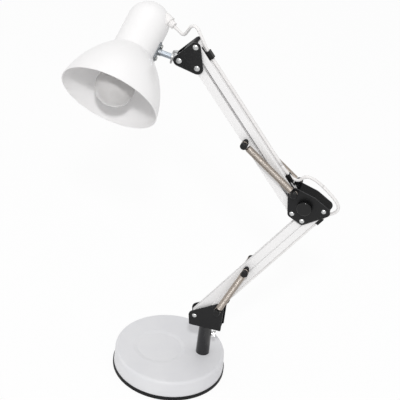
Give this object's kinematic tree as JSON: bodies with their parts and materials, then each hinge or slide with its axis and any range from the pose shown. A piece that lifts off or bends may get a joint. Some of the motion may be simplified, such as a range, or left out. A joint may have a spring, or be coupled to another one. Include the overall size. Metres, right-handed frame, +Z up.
{
  "type": "swing arm desk lamp",
  "caption": "Desk lamp with a round weighted base, a spring balanced arm of parallel bars with an elbow, and a bell shaped shade that tilts and swivels.",
  "frame": {"origin": "centre of the underside of the base", "axes": "+Z up; +X from the centre of the base towards the post; the viewer stands at -Y"},
  "size_m": [0.4377, 0.1964, 0.6372],
  "materials": {
    "base_paint": "satin pale grey paint",
    "rim_rubber": "matt black rubber",
    "pad_rubber": "matt black rubber pad",
    "ballast": "raw cast iron",
    "bolt_steel": "zinc plated steel",
    "saddle_zinc": "grey zinc plated steel",
    "black_paint": "satin black paint",
    "nylon": "dark nylon",
    "bar_paint": "white paint",
    "black_plastic": "black plastic",
    "bright_steel": "bright nickel plated steel",
    "spring_steel": "plated spring wire",
    "shade_paint": "white gloss paint",
    "holder_plastic": "pale moulded plastic",
    "brass": "plain brass",
    "bulb_frost": "frosted glass",
    "cap_aluminium": "rolled aluminium",
    "lead_pvc": "white cable sheath"
  },
  "bodies": {
    "base": {"base_shell": "base_paint", "base_rim": "rim_rubber", "base_pad": "pad_rubber", "base_weight": "ballast", "post_bolt": "bolt_steel", "post_spacer": "bolt_steel", "post": "black_paint", "post_bush": "nylon"},
    "thumb_screw": {"post_thumb_screw": "bright_steel"},
    "turret": {"lower_bracket": "black_paint", "swivel_stem": "bolt_steel", "lower_pivot_rivet": "bright_steel", "lower_pivot_pin": "black_paint", "lower_spacers": "nylon", "lower_bracket_pegs": "black_plastic", "lower_springs": "spring_steel"},
    "lower_rear": {"lower_rear_bar": "bar_paint", "lower_lead_clips": "black_plastic", "lead_lower": "lead_pvc"},
    "lower_front": {"lower_front_bar": "bar_paint", "lower_spring_pin": "bright_steel", "lower_bar_pegs": "black_plastic"},
    "elbow": {"elbow_plates": "black_paint", "elbow_cover": "black_paint", "elbow_rivets": "bright_steel", "elbow_pin": "black_paint", "elbow_spacers": "nylon", "elbow_pegs": "black_plastic", "elbow_bolt": "bolt_steel", "upper_springs": "spring_steel", "lead_elbow_2": "lead_pvc"},
    "knob": {"elbow_knob": "black_plastic"},
    "upper_rear": {"upper_rear_bar": "bar_paint", "upper_lead_clips": "black_plastic", "lead_upper": "lead_pvc", "lead_elbow_1": "lead_pvc"},
    "upper_front": {"upper_front_bar": "bar_paint", "upper_spring_pin": "bright_steel", "upper_bar_pegs": "black_plastic"},
    "head_bracket": {"head_plates": "black_paint", "head_rivets": "bright_steel", "head_spacers": "nylon", "tilt_bolt": "bright_steel", "lead_head_3": "lead_pvc"},
    "tilt_nut": {"tilt_wing_nut": "bright_steel"},
    "knuckle": {"stem_knuckle": "bright_steel", "lead_head_2": "lead_pvc"},
    "lock_nut": {"stem_lock_nut": "bright_steel"},
    "head": {"stem_rod": "bright_steel", "neck_saddle": "saddle_zinc", "saddle_screws": "bright_steel", "shade": "shade_paint", "lead_gland": "lead_pvc", "holder_bracket": "bolt_steel", "lampholder": "holder_plastic", "holder_shell": "brass", "holder_contact": "brass", "bulb_glass": "bulb_frost", "bulb_cap": "cap_aluminium", "lead_head_1": "lead_pvc"}
  },
  "joints": [
    {"name": "thumb_turn", "type": "hinge", "parent": "base", "child": "thumb_screw", "pos_m": [0.0554, 0, 0.0758], "axis": [1, 0, 0], "continuous": true},
    {"name": "arm_swivel", "type": "hinge", "parent": "base", "child": "turret", "pos_m": [0.0554, 0, 0.0955], "axis": [0, 0, 1], "continuous": true},
    {"name": "lower_arm", "type": "hinge", "parent": "turret", "child": "lower_rear", "pos_m": [0.06705, -0.00241, 0.1404], "axis": [-0.2028, -0.9792, 0], "range_deg": [-2.5, 55]},
    {"name": "lower_arm_front", "type": "hinge", "parent": "turret", "child": "lower_front", "pos_m": [0.03689, 0.00383, 0.1151], "axis": [-0.2028, -0.9792, 0], "range_deg": [-2.5, 55], "deforming": ["lower_springs"]},
    {"name": "elbow_level", "type": "hinge", "parent": "lower_rear", "child": "elbow", "pos_m": [0.21475, -0.033, 0.36915], "axis": [-0.2028, -0.9792, 0], "range_deg": [-55, 2.5], "deforming": ["lead_elbow_2"]},
    {"name": "knob_turn", "type": "hinge", "parent": "elbow", "child": "knob", "pos_m": [0.18567, -0.02698, 0.37105], "axis": [0.2028, 0.9792, 0], "continuous": true},
    {"name": "upper_arm", "type": "hinge", "parent": "elbow", "child": "upper_rear", "pos_m": [0.16246, -0.02217, 0.38675], "axis": [-0.2028, -0.9792, 0], "range_deg": [-12, 60], "deforming": ["lead_elbow_1"]},
    {"name": "upper_arm_front", "type": "hinge", "parent": "elbow", "child": "upper_front", "pos_m": [0.16785, -0.02329, 0.35325], "axis": [-0.2028, -0.9792, 0], "range_deg": [-12, 60], "deforming": ["upper_springs"]},
    {"name": "head_level", "type": "hinge", "parent": "upper_rear", "child": "head_bracket", "pos_m": [-0.00784, 0.0131, 0.59848], "axis": [-0.2028, -0.9792, 0], "range_deg": [-60, 12], "deforming": ["lead_head_3"]},
    {"name": "tilt_nut_turn", "type": "hinge", "parent": "head_bracket", "child": "tilt_nut", "pos_m": [-0.03046, 0.01778, 0.57158], "axis": [0.2028, 0.9792, 0], "continuous": true},
    {"name": "head_tilt", "type": "hinge", "parent": "head_bracket", "child": "knuckle", "pos_m": [-0.03046, 0.01778, 0.57158], "axis": [-0.2028, -0.9792, 0], "range_deg": [-30, 40], "deforming": ["lead_head_2"]},
    {"name": "lock_nut_turn", "type": "hinge", "parent": "knuckle", "child": "lock_nut", "pos_m": [-0.03188, 0.01093, 0.57158], "axis": [0.9666, -0.2002, -0.1599], "continuous": true},
    {"name": "head_swivel", "type": "hinge", "parent": "knuckle", "child": "head", "pos_m": [-0.03188, 0.01093, 0.57158], "axis": [0.9666, -0.2002, -0.1599], "range_deg": [-30, 100], "deforming": ["lead_head_1"]}
  ],
  "couplings": [
    {"joint": "lower_arm_front", "follows": "lower_arm", "ratio": 1},
    {"joint": "elbow_level", "follows": "lower_arm", "ratio": -1},
    {"joint": "upper_arm_front", "follows": "upper_arm", "ratio": 1},
    {"joint": "head_level", "follows": "upper_arm", "ratio": -1}
  ]
}
